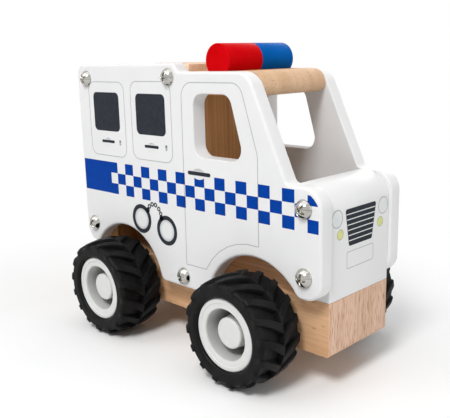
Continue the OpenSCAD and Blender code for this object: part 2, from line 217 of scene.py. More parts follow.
# Levels of a quarter-rounded edge at both faces, with a narrow flat margin ring inside each rounding
def roundedLevels(start, stop, firstRound, lastRound, steps=6, margin=0.25):
    t = np.linspace(0, np.pi / 2, steps + 1)
    way = np.sign(stop - start)
    opening = np.stack([start + way * firstRound * (1 - np.cos(t)), firstRound * (1 - np.sin(t))], axis=1)
    closing = np.stack([stop - way * lastRound * (1 - np.cos(t)), lastRound * (1 - np.sin(t))], axis=1)
    firstFlat, lastFlat = [(start, firstRound + margin)], [(stop, lastRound + margin)]
    return np.concatenate([firstFlat, opening, closing[::-1], lastFlat])


noiseBase = dict(low=0.3, high=0.7, roughness=0.55)  # most noise values lie between low and high


# Adds a shader node: sockets are linked, plain values are set on the node's own inputs
def addNode(tree, kind, inputs=None, **settings):
    made = tree.nodes.new(kind)
    for key, value in settings.items():
        setattr(made, key, value)
    for key, value in (inputs or {}).items():
        if isinstance(value, bpy.types.NodeSocket):
            tree.links.new(value, made.inputs[key])
        else:
            made.inputs[key].default_value = value
    return made


# Noise on the piece's own coordinates; its scale per metre is one number, or one along each axis after a turn
def grainNoise(tree, scale, detail=3.0, turn=(0, 0, 0), distortion=0.0):
    scales = scale if isinstance(scale, tuple) else (scale,) * 3
    coords = addNode(tree, "ShaderNodeTexCoord")
    turned = addNode(tree, "ShaderNodeMapping", {"Vector": coords.outputs["Object"], "Rotation": turn})
    placed = addNode(tree, "ShaderNodeMapping", {"Vector": turned.outputs["Vector"], "Scale": scales})
    noise = addNode(tree, "ShaderNodeTexNoise", {
        "Vector": placed.outputs["Vector"], "Scale": 1.0, "Detail": detail,
        "Roughness": noiseBase["roughness"], "Distortion": distortion})
    return noise.outputs["Fac"]


# Colour ramp with the stops (position, colour)
def addRamp(tree, factor, stops):
    ramp = addNode(tree, "ShaderNodeValToRGB", {"Fac": factor})
    while len(ramp.color_ramp.elements) < len(stops):
        ramp.color_ramp.elements.new(0.5)
    for element, (position, colour) in zip(ramp.color_ramp.elements, stops):
        element.position = position
        element.color = (*colour, 1.0)
    return ramp.outputs["Color"]


# Straight change of a value from one range to another
def addRange(tree, value, low, high, toLow, toHigh):
    made = addNode(tree, "ShaderNodeMapRange", {
        "Value": value, "From Min": low, "From Max": high, "To Min": toLow, "To Max": toHigh})
    return made.outputs["Result"]


# Colour between two tones over a noise's usual values
def addTones(tree, noise, tones, high=noiseBase["high"]):
    return addRamp(tree, noise, list(zip((noiseBase["low"], high), tones)))


# Roughness between two values over a noise's usual values
def addRough(tree, noise, rough, high=noiseBase["high"]):
    return addRange(tree, noise, noiseBase["low"], high, *rough)


# Arithmetic on one value or two
def addMath(tree, operation, *values):
    return addNode(tree, "ShaderNodeMath", dict(enumerate(values)), operation=operation).outputs[0]


# Mix of two colours, or of two plain numbers, by a share
def addMix(tree, share, first, second, kind="RGBA"):
    made = addNode(tree, "ShaderNodeMix", {"Factor": share, "A": first, "B": second}, data_type=kind)
    return made.outputs["Result"]


# Relief by a height from 0 to 1 over a depth in millimetres, on top of another relief
def addBump(tree, height, depth, normal=None):
    inputs = {"Height": height, "Strength": 1.0, "Distance": depth * mm}
    if normal is not None:
        inputs["Normal"] = normal
    return addNode(tree, "ShaderNodeBump", inputs).outputs["Normal"]


# New material with one constant of its main shader set
def newMaterial(name, value, key="Specular IOR Level"):
    made = bpy.data.materials.new(name)
    made.use_nodes = True
    shader = made.node_tree.nodes["Principled BSDF"]
    shader.inputs[key].default_value = value
    return made, made.node_tree, shader


# Links a colour, a roughness and a relief to the main shader
def linkShader(tree, shader, colour, rough, relief=None):
    tree.links.new(colour, shader.inputs["Base Color"])
    tree.links.new(rough, shader.inputs["Roughness"])
    if relief is not None:
        tree.links.new(relief, shader.inputs["Normal"])


paint = dict(tones=[(0.755, 0.757, 0.757), (0.785, 0.785, 0.785)], specular=0.35, rough=(0.3, 0.42),
             cloud=35, peel=700, grain=(40, 900, 900), peelDeep=0.008, grainDeep=0.012)


# Sprayed white lacquer: faint cloudy tone, orange peel and a trace of the grain under it
def whiteLacquer():
    made, tree, shader = newMaterial("white_lacquer", paint["specular"])
    cloud = grainNoise(tree, paint["cloud"], detail=2.0)
    peel = grainNoise(tree, paint["peel"], detail=1.0)
    grain = grainNoise(tree, paint["grain"], detail=3.0)
    relief = addBump(tree, grain, paint["grainDeep"], addBump(tree, peel, paint["peelDeep"]))
    linkShader(tree, shader, addTones(tree, cloud, paint["tones"]),
               addRough(tree, peel, paint["rough"]), relief)
    return made


# Beech tones in three steps, then the grain's scales per metre on boards, sawn ends and the worked nose
wood = dict(
    side=[(0.52, 0.28, 0.14), (0.67, 0.395, 0.215), (0.76, 0.475, 0.275)],
    # The tones on the next line are painted shade: a darker, redder copy of the side tones for boards that
    # are seen in shadow
    inner=[(0.44, 0.205, 0.075), (0.56, 0.285, 0.115), (0.64, 0.35, 0.16)],
    sawn=[(0.635, 0.415, 0.29), (0.73, 0.50, 0.37), (0.79, 0.565, 0.43)],
    # The tones on the next line are painted light: a brighter band along the partition's top, where the light
    # bar's shade falls
    paintedLight=[(0.84, 0.62, 0.43), (0.89, 0.68, 0.48), (0.93, 0.73, 0.53)],
    nose=[(0.60, 0.385, 0.235), (0.67, 0.45, 0.285), (0.74, 0.515, 0.335)],
    fleck=(0.33, 0.165, 0.07), specular=0.12, rough=(0.62, 0.48), fibreDeep=0.02, fleckDeep=-0.02,
    bandStops=(0.32, 0.5, 0.68), fibreSpan=(0.35, 0.65), fibreDark=0.45, fleckSpan=(0.7, 0.82),
    long=dict(bands=(9, 420, 110), fibre=(60, 2600, 900), flecks=(190, 3000, 1700), dense=0.0, dark=0.75),
    ends=dict(bands=(60, 420, 16), fibre=(900, 3600, 110), flecks=(900, 2300, 190), dense=0.1, dark=0.75),
    worked=dict(bands=(40, 110, 40), fibre=(500, 1500, 500), flecks=(500, 1100, 1800), dense=0.04, dark=0.45),
    paintedLightDeep=2.0, sawnSkin=(0.25, 0.15), noseRun=(14.0, 9.0))  # where one figure turns into another


# Growth bands, fine fibre and short dark flecks, all drawn out along one direction
def woodFigure(tree, scales, tones, turn):
    bands = grainNoise(tree, scales["bands"], detail=3.0, turn=turn, distortion=0.4)
    fibre = grainNoise(tree, scales["fibre"], detail=2.0, turn=turn)
    flecks = grainNoise(tree, scales["flecks"], detail=0.0, turn=turn)
    tone = addRamp(tree, bands, list(zip(wood["bandStops"], tones)))
    fibreShare = addRange(tree, fibre, *wood["fibreSpan"], wood["fibreDark"], 0.0)
    fine = addMix(tree, fibreShare, tone, (*tones[0], 1.0))
    start, full = (value - scales["dense"] for value in wood["fleckSpan"])
    fleckShare = addRange(tree, flecks, start, full, 0.0, scales["dark"])
    return addMix(tree, fleckShare, fine, (*wood["fleck"], 1.0)), fibre, flecks


# Oiled beech along the board; between two distances along an axis it turns into a second figure and tone
def beech(name, tone, turn=(0, 0, 0), second=None):
    made, tree, shader = newMaterial(name, wood["specular"])
    colour, fibre, flecks = woodFigure(tree, wood["long"], wood[tone], turn)
    if second:
        place = addNode(tree, "ShaderNodeTexCoord").outputs["Object"]
        along = addNode(tree, "ShaderNodeSeparateXYZ", {"Vector": place}).outputs[second["axis"]]
        away = addMath(tree, "ABSOLUTE", along)
        share = addRange(tree, away, second["start"] * mm, second["stop"] * mm, 0.0, 1.0)
        endColour, endFibre, endFlecks = woodFigure(tree, wood[second["figure"]], wood[second["tone"]], turn)
        colour = addMix(tree, share, colour, endColour)
        fibre = addMix(tree, share, fibre, endFibre, "FLOAT")
        flecks = addMix(tree, share, flecks, endFlecks, "FLOAT")
    relief = addBump(tree, flecks, wood["fleckDeep"], addBump(tree, fibre, wood["fibreDeep"]))
    linkShader(tree, shader, colour, addRough(tree, fibre, wood["rough"]), relief)
    return made


lampGloss = dict(specular=0.015, cloud=90, peel=900, rough=(0.26, 0.36), peelDeep=0.008)


# Gloss lacquer on the light bar: a little cloudy, with fine peel
def lampLacquer(name, *tones):
    made, tree, shader = newMaterial(name, lampGloss["specular"])
    cloud = grainNoise(tree, lampGloss["cloud"], detail=3.0)
    peel = grainNoise(tree, lampGloss["peel"], detail=1.0)
    linkShader(tree, shader, addTones(tree, cloud, tones), addRough(tree, peel, lampGloss["rough"]),
               addBump(tree, peel, lampGloss["peelDeep"]))
    return made


metal = dict(cloud=250, scratch=(300, 6000, 300), turn=(0.3, 0.5, 0.7), scratchHigh=0.75, scratchDeep=0.001)


# Bright metal with hair scratches and a faint change of tone
def brightMetal(name, tones, rough):
    made, tree, shader = newMaterial(name, 1.0, "Metallic")
    cloud = grainNoise(tree, metal["cloud"], detail=2.0)
    scratch = grainNoise(tree, metal["scratch"], detail=1.0, turn=metal["turn"])
    linkShader(tree, shader, addTones(tree, cloud, tones),
               addRough(tree, scratch, rough, metal["scratchHigh"]),
               addBump(tree, scratch, metal["scratchDeep"]))
    return made


tread = dict(tones=[(0.006, 0.006, 0.0061), (0.014, 0.014, 0.0145)], specular=0.07, rough=(0.36, 0.52),
             dustAndShade=160, dustHigh=0.75, skin=1800, skinDeep=0.03)


# Moulded rubber: nearly black, dusty in patches, with a fine mould texture
def tyreRubber():
    made, tree, shader = newMaterial("tyre_rubber", tread["specular"])
    dustAndShade = grainNoise(tree, tread["dustAndShade"], detail=4.0)
    skin = grainNoise(tree, tread["skin"], detail=2.0)
    linkShader(tree, shader, addTones(tree, dustAndShade, tread["tones"], tread["dustHigh"]),
               addRough(tree, dustAndShade, tread["rough"]), addBump(tree, skin, tread["skinDeep"]))
    return made


# The grey of the rim's dish in this table is painted shade, darkest at the dish's floor
satin = dict(tones=[(0.665, 0.67, 0.655), (0.705, 0.71, 0.695)], dustAndShade=(0.15, 0.15, 0.14, 1.0), specular=0.45,
             rough=(0.38, 0.5), cloud=120, skin=2200, skinDeep=0.012)


# Moulded off-white plastic: satin, faintly mottled, with grey painted shade where the piece's own tone
# attribute rises
def rimPlastic():
    made, tree, shader = newMaterial("rim_plastic", satin["specular"])
    cloud = grainNoise(tree, satin["cloud"], detail=3.0)
    skin = grainNoise(tree, satin["skin"], detail=2.0)
    dustAndShade = addNode(tree, "ShaderNodeAttribute", attribute_name="tone").outputs["Fac"]
    colour = addMix(tree, dustAndShade, addTones(tree, cloud, satin["tones"]), satin["dustAndShade"])
    linkShader(tree, shader, colour, addRough(tree, skin, satin["rough"]),
               addBump(tree, skin, satin["skinDeep"]))
    return made


ink = dict(specular=0.03, mottle=500, rough=(0.36, 0.5), mottleDeep=0.006,
           fadeSpecular=0.3, fadeRough=(0.36, 0.46))


# Screen-printed ink: nearly even, with a fine dry mottle
def printInk(name, *tones):
    made, tree, shader = newMaterial(name, ink["specular"])
    mottle = grainNoise(tree, ink["mottle"], detail=3.0)
    linkShader(tree, shader, addTones(tree, mottle, tones), addRough(tree, mottle, ink["rough"]),
               addBump(tree, mottle, ink["mottleDeep"]))
    return made


# Ink that fades by the piece's own tone attribute, from one shade at 0 to another at the span
def fadeInk(name, start, stop, span):
    made, tree, shader = newMaterial(name, ink["fadeSpecular"])
    tone = addNode(tree, "ShaderNodeAttribute", attribute_name="tone").outputs["Fac"]
    mottle = grainNoise(tree, ink["mottle"], detail=3.0)
    linkShader(tree, shader, addRamp(tree, tone, [(0.0, start), (span, stop)]),
               addRough(tree, mottle, ink["fadeRough"]))
    return made


white = whiteLacquer()
roofHigh = nodeBox("cab_roof_board")[1]
noseX, roofZ = roofHigh[0], roofHigh[2]
upright = (0, math.radians(90), 0)
# Top band of the partition, painted lighter over the last millimetres under the roof's top, against the light
# bar's shade
paintedLightTop = dict(axis="Z", start=roofZ - wood["paintedLightDeep"], stop=roofZ, figure="long", tone="paintedLight")
sawnEnd = dict(axis="X", start=frontX - wood["sawnSkin"][0], stop=frontX - wood["sawnSkin"][1],
               figure="ends", tone="sawn")
workedNose = dict(axis="X", start=noseX - wood["noseRun"][0], stop=noseX - wood["noseRun"][1],
                  figure="worked", tone="nose")
beechLong = beech("beech_long", "side")
# Rear wall, pegs, partition and the cab roof's rear part take the darker tones painted as shade; the
# partition's top band is painted lighter instead
beechRear = beech("beech_rear", "inner", upright)
beechUpright = beech("beech_upright", "inner", upright, paintedLightTop)
beechBase = beech("beech_base", "side", second=sawnEnd)
beechNose = beech("beech_nose", "inner", second=workedNose)
lampRed = lampLacquer("lamp_red", (0.56, 0.001, 0.003), (0.62, 0.002, 0.005))
lampBlue = lampLacquer("lamp_blue", (0.001, 0.095, 0.38), (0.002, 0.115, 0.44))
nickel = brightMetal("nickel_plate", [(0.42, 0.41, 0.38), (0.50, 0.485, 0.455)], rough=(0.03, 0.08))
steel = brightMetal("axle_steel", [(0.5, 0.5, 0.52), (0.6, 0.6, 0.62)], rough=(0.25, 0.45))
rubber = tyreRubber()
plastic = rimPlastic()
blueInk = printInk("ink_blue", (0.0005, 0.042, 0.29), (0.001, 0.052, 0.34))
slateInk = printInk("ink_slate", (0.025, 0.029, 0.037), (0.034, 0.039, 0.048))
greyInk = printInk("ink_grey", (0.38, 0.39, 0.4), (0.45, 0.46, 0.47))
paleInk = printInk("ink_pale", (0.71, 0.735, 0.735), (0.77, 0.79, 0.79))
yellowInk = printInk("ink_yellow", (0.64, 0.65, 0.22), (0.72, 0.74, 0.31))
cuffFade = fadeInk("ink_fade", (0.38, 0.4, 0.42), (0.765, 0.77, 0.77), span=0.45)
recessFade = fadeInk("ink_recess", (0.45, 0.46, 0.47), (0.765, 0.77, 0.77), span=0.55)
print("materials:", len(bpy.data.materials))

panel = dict(length=175.0, rearTop=147.2, cabTop=143.1, hood=95.2, skirt=44.7, sill=32.9, pillarLean=24.7,
             pillarFoot=67.2, stepX=0.5, archR=31.0, archRise=1.2, lipR=4.0, cornerR=8.5, noseR=9.5,
             footR=3.5, headR=11.0, stepR=3.0, stepLean=50.0, rearR=5.0, proud=1.3,
             outerRound=1.4, innerRound=0.7)
cabWindow = dict(rear=9.5, front=42.6, sill=102.3, head=132.8, lean=0.63, radius=6.0, edge=0.5)
sides = {"right": -1, "left": 1}


# Middle of an axle, seen from the side
def axleMiddle(end):
    low, high = nodeBox(end + "_axle")
    return (low + high)[[0, 2]] / 2


axles = {end: axleMiddle(end) for end in ("front", "rear")}


# Arcs of one wheel arch: the lip before it, the arch, and the lip after it, between edges at two heights
def archArcs(axle, before, after):
    lip, wide, high = panel["lipR"], panel["archR"] + panel["lipR"], axle[1] + panel["archRise"]
    lean = [math.degrees(math.asin((z + lip - high) / wide)) for z in (before, after)]
    reach = [wide * math.cos(math.radians(t)) for t in lean]
    return [[axle[0] - reach[0], before + lip, lip, 270, 360 - lean[0]],
            [axle[0], high, panel["archR"], 180 - lean[0], lean[1]],
            [axle[0] + reach[1], after + lip, lip, 180 + lean[1], 270]]


# Outline of a side panel as a chain of tangent arcs, anticlockwise from the lower rear corner
def panelArcs(p):
    rear, front, lean = -p["length"] / 2, frontX + p["proud"], math.radians(p["pillarLean"])
    rise = p["rearTop"] - p["cabTop"]
    slope = math.radians(p["stepLean"])
    run = (rise - 2 * p["stepR"] * (1 - math.cos(slope))) / math.tan(slope) + 2 * p["stepR"] * math.sin(slope)

    # x at a height and a distance off the leaning pillar's line
    def offPillar(z, off):
        return p["pillarFoot"] + off / math.cos(lean) - (z - p["hood"]) * math.tan(lean)

    foot, head = p["hood"] + p["footR"], p["cabTop"] - p["headR"]
    return ([[rear + p["cornerR"], p["skirt"] + p["cornerR"], p["cornerR"], 180, 270]]
            + archArcs(axles["rear"], p["skirt"], p["sill"]) + archArcs(axles["front"], p["sill"], p["skirt"])
            + [[front - p["cornerR"], p["skirt"] + p["cornerR"], p["cornerR"], -90, 0],
               [front - p["noseR"], p["hood"] - p["noseR"], p["noseR"], 0, 90],
               [offPillar(foot, p["footR"]), foot, p["footR"], 270, 180 + p["pillarLean"]],
               [offPillar(head, -p["headR"]), head, p["headR"], p["pillarLean"], 90],
               [p["stepX"], p["cabTop"] + p["stepR"], p["stepR"], 270, 270 - p["stepLean"]],
               [p["stepX"] - run, p["rearTop"] - p["stepR"], p["stepR"], 90 - p["stepLean"], 90],
               [rear + p["rearR"], p["rearTop"] - p["rearR"], p["rearR"], 90, 180]])


# Cab window: a rounded four-sided outline whose front edge leans by a share of the pillar's lean
def windowArcs(w):
    slant = (w["head"] - w["sill"]) * math.tan(math.radians(panel["pillarLean"])) * w["lean"]
    return evenCorners([(w["rear"], w["sill"]), (w["front"], w["sill"]),
                        (w["front"] - slant, w["head"]), (w["rear"], w["head"])], w["radius"])


panelLevels = roundedLevels(0.0, faceY - innerY, panel["outerRound"], panel["innerRound"], steps=8)
windowLevels = roundedLevels(0.0, faceY - innerY, cabWindow["edge"], cabWindow["edge"])
panelHoles = [(windowArcs(cabWindow), windowLevels)]
for hand, side in sides.items():
    makePiece("van_panel_" + hand, [loft(panelArcs(panel), panelLevels, onSide(side), panelHoles, step=3.0)],
              white, "van_body", "white_paint", ["side_panel_" + hand])
print("side panels done")

boardEdge = dict(long=0.45, end=0.4, margin=0.02)  # small softening of the boards' edges
edge = boardEdge["long"]
boards = {  # radii of the profile's corners, from the lower rear one by the front to the upper rear one
    "base_block": dict(radii=(2.0, 2.0, edge, edge), material=beechBase),
    "front_board": dict(radii=(edge, edge, 13.0, edge), material=white, slotName="white_paint", drop=1.0),
    "partition_board": dict(radii=(edge, edge, edge, edge), material=beechUpright),
    "rear_wall": dict(radii=(edge, edge, edge, 5.0), material=beechRear),
    "rear_roof_board": dict(radii=(edge, edge, edge, edge), material=beechLong),
    "cab_roof_board": dict(radii=(edge, 4.2, 7.0, edge), material=beechNose),
}


# Board across the body: a profile with rounded corners in its node's box, its top lowered by the drop
def makeBoard(name, radii, material, slotName="beech", drop=0.0):
    low, high = nodeBox(name)
    top = high[2] - drop
    profile = cornerArcs(list(zip((low[0], high[0], high[0], low[0]), (low[2], low[2], top, top), radii)))
    end, margin = boardEdge["end"], boardEdge["margin"]
    levels = roundedLevels(low[1], high[1], end, end, steps=3, margin=margin)
    shell = loft(profile, levels, acrossBody, step=5.0)
    makePiece("van_" + name, [shell], material, "van_body", slotName, [name])


for name, board in boards.items():
    makeBoard(name, **board)
print("boards done")

lightBar = dict(radius=8.0, endRound=0.3, seamRound=0.12)


# Half of the light bar: a round profile with a flat below, carried from its outer end to the seam
def lightHalf(name, material, slotName):
    low, high = nodeBox(name)
    r = lightBar["radius"]
    centre = np.array([(low[0] + high[0]) / 2, high[2] - r])
    sink = math.degrees(math.asin((low[2] - centre[1]) / r))
    profile = [[centre[0], centre[1], r, sink, 180 - sink]]
    outer, seam = (low[1], high[1]) if abs(low[1]) > abs(high[1]) else (high[1], low[1])
    levels = roundedLevels(outer, seam, lightBar["endRound"], lightBar["seamRound"], steps=5)
    shell = loft(profile, levels, acrossBody, step=3.0)
    makePiece("van_" + name, [shell], material, "van_body", slotName, [name], sharp=40)


lightHalf("light_bar_red", lampRed, "lamp_red")
lightHalf("light_bar_blue", lampBlue, "lamp_blue")
print("light bar done")

screw = dict(radius=4.5, high=3.3, shank=2.0, length=24.0, point=1.0, under=-0.02, turn=20.0, turnStep=31.0,
             slotWide=1.0, slotLong=4.6, slotDeep=1.3, wallSoft=0.25, tipSoft=0.7,
             segments=96, crossR=2.7, crossRings=34, domeR=2.85, domeRings=14,
             places=[(-78.5, 139.4), (-79.5, 55.7), (-8.2, 140.5), (-1.7, 39.1), (76.7, 85.6), (76.8, 55.0)])


# Share that rises from 0 to 1 over a soft width round an edge
def softEdge(inside, soft):
    return np.clip(inside / soft + 0.5, 0, 1)


# Domed screw on a side panel: a spherical cap over polar coordinates, less a cross-shaped recess
# whose depth fades over the slots' walls, then the flat underside and the plain shank
def screwShell(s, at, turn, side):
    radius, high = s["radius"], s["high"]
    ball = (radius * radius + high * high) / (2 * high)
    t = fullTurn(s["segments"])
    cross = np.linspace(0.0, s["crossR"], s["crossRings"])
    r = np.concatenate([cross, np.linspace(s["domeR"], radius, s["domeRings"])])[:, None]
    a, b = r * np.cos(t), r * np.sin(t)
    across, along = np.minimum(abs(a), abs(b)), np.maximum(abs(a), abs(b))
    wall = softEdge(s["slotWide"] / 2 - across, s["wallSoft"])
    tip = softEdge(s["slotLong"] / 2 - along, s["tipSoft"])
    out = np.sqrt(ball ** 2 - r ** 2) - (ball - high) - s["slotDeep"] * wall * tip
    lower = np.array([(radius, s["under"]), (s["shank"], s["under"]),
                      (s["shank"], s["point"] - s["length"]), (0.0, -s["length"])])
    lowR, lowOut = lower[:, :1], lower[:, 1:]
    a = np.concatenate([a, lowR * np.cos(t)])
    b = np.concatenate([b, lowR * np.sin(t)])
    out = np.concatenate([out, lowOut * np.ones_like(t)])
    c, d = math.cos(math.radians(turn)), math.sin(math.radians(turn))
    x, z = at[0] + c * a - d * b, at[1] + d * a + c * b
    return gridShell(np.stack([x, side * (faceY + out), z], axis=-1))


for hand, side in sides.items():
    turns = [screw["turn"] + screw["turnStep"] * i for i in range(len(screw["places"]))]
    heads = [screwShell(screw, at, turn, side) for at, turn in zip(screw["places"], turns)]
    makePiece("van_screws_" + hand, heads, nickel, "van_body", "nickel", ["panel_screws_" + hand],
              sharp=50, weld=True)
print("screws done")

wheelTrack = -sum(b[1] for b in nodeBox("front_tyre_right")) / 2  # from the van's middle to a tyre's middle
tyre = dict(radius=26.5, half=13.0, crown=1.2, floorCrown=-0.7, shoulder=2.0, lugShoulder=2.0, proud=0.15,
            bead=2.0, beadR=17.45, seatR=15.55, seatY=9.3, rootR=22.3, turn={"front": 7.9, "rear": 20.5},
            lugDeep=3.1, lugs=16, lugTop=4.8, taper=0.35, draft=0.45, soft=0.12, overlap=0.4,
            innerSlope=0.66, outerSlope=0.5, bend=6.5,
            flankHeights=(1.0, 0.95, 0.06, 0.0),  # a lug's height down its flank
            tipRun=(-0.3, -0.12, 0.25, 0.43),  # and the places of these heights past a lug's inner end
            rootRun=((-1.2, 0.0), (0.0, 0.0), (0.25, 0.8), (0.6, 1.0)),  # rise of a lug on the sidewall
            acrossEnd=0.12, acrossPoints=10, acrossTip=(0.035, 0.02, -0.01, -0.025))  # lines over the tread


# Crowned half of a tread from sidewall to middle, as (r, y): a shoulder arc that runs into a flat parabola
def treadHalf(radius, half, shoulder, crown, across):
    start = math.atan(2 * crown / (half - shoulder))
    edgeY = half - shoulder * (1 - math.sin(start))
    turn = np.linspace(np.pi / 2, start, arcPoints)
    centre = radius - crown - shoulder * math.cos(start)
    bend = np.stack([centre + shoulder * np.cos(turn), half - shoulder + shoulder * np.sin(turn)], axis=1)
    return np.concatenate([bend, np.stack([radius - crown * across ** 2, across * edgeY], axis=1)])


# Half of the tyre's section from the bead to the crown, as (r, y), between the lugs and on a lug
def tyreHalf(t):
    turn = np.radians(np.linspace(0, 90, arcPoints))
    bead = np.stack([t["beadR"] + t["bead"] * (1 - np.cos(turn)),
                     t["half"] - t["bead"] * (1 - np.sin(turn))], axis=1)
    tip = t["overlap"] / t["half"] + np.array(t["acrossTip"])
    across = np.concatenate([np.linspace(1, t["acrossEnd"], t["acrossPoints"])[1:], tip, [0.0]])
    plain = treadHalf(t["radius"] - t["lugDeep"], t["half"], t["shoulder"], t["floorCrown"], across)
    lugged = treadHalf(t["radius"], t["half"] + t["proud"], t["lugShoulder"], t["crown"], across)
    wallLug = np.array(t["rootRun"]) * [1, t["proud"]] + [t["rootR"], t["half"]]
    wallR = np.linspace(bead[-1, 0], plain[0, 0], len(wallLug) + 2)[1:-1]
    wallPlain = np.stack([wallR, np.full(len(wallR), t["half"])], axis=1)
    return np.concatenate([bead, wallPlain, plain]), np.concatenate([bead, wallLug, lugged])


# Tyre: the section turned about the axle on lines that follow the chevrons, so a lug's flank is one line of
# the grid. A point lies between the plain section and the lugged one by h, the higher of two rows of lugs,
# and each row's lines draw together towards its shoulder, so that the lugs taper
def tyreShell(t, hub, side, turn):
    plain, lugged = tyreHalf(t)
    seat = np.array([[t["seatR"], t["seatY"]], [t["beadR"], t["seatY"]]])
    flip = [1, -1]
    plain = np.concatenate([seat * flip, plain * flip, plain[-2::-1], seat[::-1]])
    lugged = np.concatenate([seat * flip, lugged * flip, lugged[-2::-1], seat[::-1]])
    pitch = 2 * np.pi * t["radius"] / t["lugs"]
    top = t["lugTop"] / 2
    flank = np.array([top - t["soft"], top, top + t["draft"], top + t["draft"] + t["soft"]])
    marks = np.concatenate([flank, -flank, [0.0]])
    lines = np.mod(np.concatenate([marks, marks + pitch / 2]), pitch)
    lines = np.unique(np.round(lines, decimals=4))  # lines that fall together are one
    u = (np.arange(t["lugs"])[:, None] * pitch + lines[None, :]).reshape(-1)
    tip = t["overlap"] + np.array(t["tipRun"])
    away = np.minimum(abs(lugged[:, 1]), t["half"])
    rows, shift = [], 0.0
    for phase, sign in ((0.0, 1), (pitch / 2, -1)):
        off = np.mod(u - phase + pitch / 2, pitch) - pitch / 2
        around = np.interp(abs(off), flank, t["flankHeights"])[None, :]
        rows.append(around * np.interp(sign * lugged[:, 1], tip, t["flankHeights"])[:, None])
        pull = np.interp(abs(off), [0, flank[-1], pitch / 2], [0, flank[-1], 0]) * np.sign(off)
        shift = shift - t["taper"] * ((sign * lugged[:, 1] < 0) * away / t["half"])[:, None] * pull[None, :]
    h = np.maximum(*rows)
    shear = -t["innerSlope"] * np.minimum(away, t["bend"]) - t["outerSlope"] * np.maximum(away - t["bend"], 0)
    shear[:2] = shear[-2:] = shear.min()
    angle = math.radians(turn) + (u[None, :] + shift + shear[:, None]) / t["radius"]
    r = plain[:, :1] + h * (lugged - plain)[:, :1]
    y = plain[:, 1:] + h * (lugged - plain)[:, 1:]
    x, z = hub[0] + r * np.sin(angle), hub[1] + r * np.cos(angle)
    return gridShell(np.stack([x, side * (wheelTrack - y), z], axis=-1), closed=True)


rim = dict(lipY=11.5, lipR=17.4, lipT=2.2, seatR=15.5, hubR=6.5, hubBack=-14.5, bore=2.55, mouthR=12.2,
           mouthFlare=0.35, mouthDrop=0.05, mouthDeep=1.4, floorR=10.2, floorY=-3.0, hubFace=4.0, hubWell=7.8,
           step=0.3, stepR=15.0, stepRun=0.15, webY=-6.0, webIn=8.5, webOut=13.5, segments=128,
           # The next four settings paint shade into the dish: its share at the floor and at the top, how far
           # under the lip it starts, and how far past the mouth it reaches
           dustAndShade=0.9, shadeStart=0.35, shadeTop=1.3, shadeOut=0.4)
cap = dict(radius=7.4, face=8.5, back=4.0, edge=0.9, crown=0.12, facePoints=8, segments=96)


# Closed section of a rim as corners (r, distance outwards, radius), from the bore's back round by the lip
def rimCorners(p):
    lip, inner, face = p["lipY"], p["lipY"] - p["lipT"], p["lipY"] - p["step"]
    return [
        (p["bore"], p["hubBack"], 0.2), (p["hubR"], p["hubBack"], 0.5), (p["hubR"], -lip, 0.3),
        (p["webIn"], -lip, 0.4), (p["webIn"], p["webY"], 0.5), (p["webOut"], p["webY"], 0.5),
        (p["webOut"], -lip, 0.4), (p["lipR"], -lip, 0.6), (p["lipR"], -inner, 0.4),
        (p["seatR"], -inner, 0.2), (p["seatR"], inner, 0.2), (p["lipR"], inner, 0.4),
        (p["lipR"], lip, 0.9), (p["stepR"] + p["stepRun"], lip, 0.2), (p["stepR"], face, 0.15),
        (p["mouthR"] + p["mouthFlare"], face - p["mouthDrop"], 0.4), (p["mouthR"], lip - p["mouthDeep"], 0.6),
        (p["floorR"], p["floorY"], 0.8), (p["hubWell"], p["floorY"], 0.3), (p["hubWell"], p["hubFace"], 0.2),
        (p["bore"], p["hubFace"], 0.15)]


# Painted shade on a rim's section: none outside the dish, and inside it a share that rises from its top to
# its floor, darker the deeper it lies
def rimPaintedShade(p, section):
    r, y = section.T
    top = p["lipY"] - p["shadeTop"]
    deep = np.clip((top - y) / (top - p["floorY"]), 0, 1)
    inDish = (r < p["mouthR"] + p["shadeOut"]) & (y > p["webY"]) & (deep > 0)
    return inDish * (p["shadeStart"] + (p["dustAndShade"] - p["shadeStart"]) * deep)


# Hub cap from axis to axis: a faintly crowned face, a rounded edge, a plain side and a flat back
def capProfile(p):
    turn = np.radians(np.linspace(90, 0, arcPoints))
    edgeR = p["radius"] - p["edge"]
    face = np.linspace(0, edgeR, p["facePoints"])[:-1]
    crown = np.stack([face, p["face"] + p["crown"] * (1 - (face / edgeR) ** 2)], axis=1)
    bend = np.stack([edgeR + p["edge"] * np.cos(turn), p["face"] - p["edge"] * (1 - np.sin(turn))], axis=1)
    return np.concatenate([crown, bend, [[p["radius"], p["back"]], [0.0, p["back"]]]])


# One wheel: a tyre, a rim with painted shade in its dish and a hub cap, on the body of their axle
def makeWheel(end, hand):
    hub, side, body = axles[end], sides[hand], end + "_wheels"
    node = end + "_%s_" + hand
    shell = tyreShell(tyre, hub, side, tyre["turn"][end])
    makePiece("van_" + node % "tyre", [shell], rubber, body, "tyre_rubber", [node % "tyre"], sharp=38)
    section = outline(cornerArcs(rimCorners(rim)), step=15.0)
    shell = revolve(section, hub, side, rim["segments"])
    made = makePiece("van_" + node % "rim", [shell], plastic, body, "rim_plastic", [node % "rim"], sharp=45)
    # The tone attribute carries the painted shade in the dish
    setTone(made, np.repeat(rimPaintedShade(rim, section), rim["segments"]))
    shell = revolve(capProfile(cap), hub, side, cap["segments"], closed=False)
    makePiece("van_" + node % "cap", [shell], plastic, body, "rim_plastic", [node % "hub_cap"],
              sharp=60, weld=True)


for end in axles:
    for hand in sides:
        makeWheel(end, hand)
print("wheels done")


# Rectangle with rounded corners, as arcs
def roundedBox(low, high, radius):
    return evenCorners([low, (high[0], low[1]), high, (low[0], high[1])], radius)


# Full circle as two half arcs
def circle(a, b, radius):
    return [[a, b, radius, 0, 180], [a, b, radius, 180, 360]]


